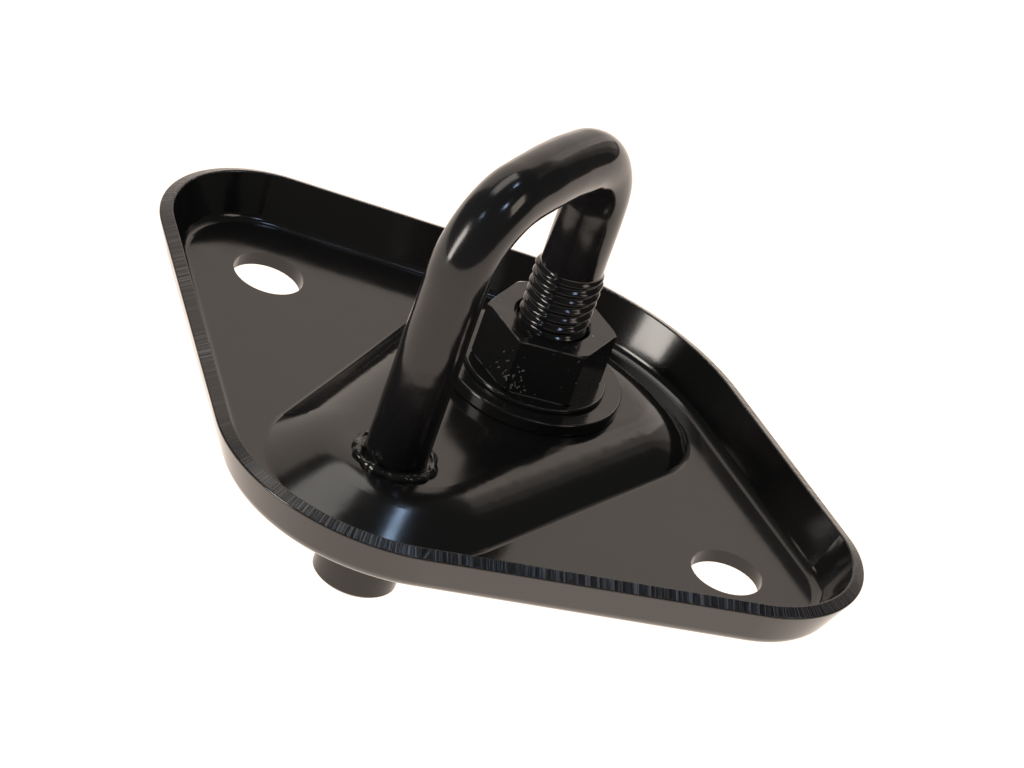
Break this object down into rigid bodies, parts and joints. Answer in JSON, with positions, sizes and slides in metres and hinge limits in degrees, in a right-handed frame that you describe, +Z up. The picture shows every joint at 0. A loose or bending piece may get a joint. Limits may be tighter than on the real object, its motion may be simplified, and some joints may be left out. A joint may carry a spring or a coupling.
{
  "type": "adjustable latch striker",
  "caption": "Bent-rod striker loop, clamped by nuts on its threaded leg to a pressed, flanged, kite-shaped base plate with bolt holes.",
  "frame": {"origin": "half way between the two bolt holes, on the plate's flat underside, which is the mounting face", "axes": "+X through the two bolt holes, +Z up out of the tray towards the striker loop's bow, -Y the plain leg's side"},
  "size_m": [0.1152, 0.0873, 0.0666],
  "materials": {
    "plate_paint": "gloss black paint",
    "rod_paint": "gloss black paint",
    "bush_paint": "satin black paint",
    "weld_paint": "lumpy gloss black paint",
    "washer_paint": "gloss black paint",
    "nut_paint": "gloss black paint, scuffed at the corners"
  },
  "bodies": {
    "plate": {"base_plate": "plate_paint", "guide_bush": "bush_paint", "bush_weld": "weld_paint", "large_washer": "washer_paint", "small_washer": "washer_paint", "lower_washer": "washer_paint"},
    "upper_nut": {"upper_nut": "nut_paint"},
    "loop": {"striker_loop": "rod_paint"},
    "lower_nut": {"lower_nut": "nut_paint"}
  },
  "joints": [
    {"name": "upper_nut_spin", "type": "hinge", "parent": "plate", "child": "upper_nut", "pos_m": [0, 0.0067, 0.0127], "axis": [0, 0, 1], "range_deg": [-1440, 1440]},
    {"name": "loop_height", "type": "slide", "parent": "plate", "child": "loop", "axis": [0, 0, 1], "range_m": [-0.006, 0.006]},
    {"name": "lower_nut_spin", "type": "hinge", "parent": "plate", "child": "lower_nut", "pos_m": [0, 0.0067, -0.002], "axis": [0, 0, 1], "range_deg": [-1440, 1440]}
  ],
  "couplings": [
    {"joint": "loop_height", "follows": "upper_nut_spin", "m_per_rad": -0.00023873},
    {"joint": "lower_nut_spin", "follows": "upper_nut_spin", "ratio": 1}
  ]
}
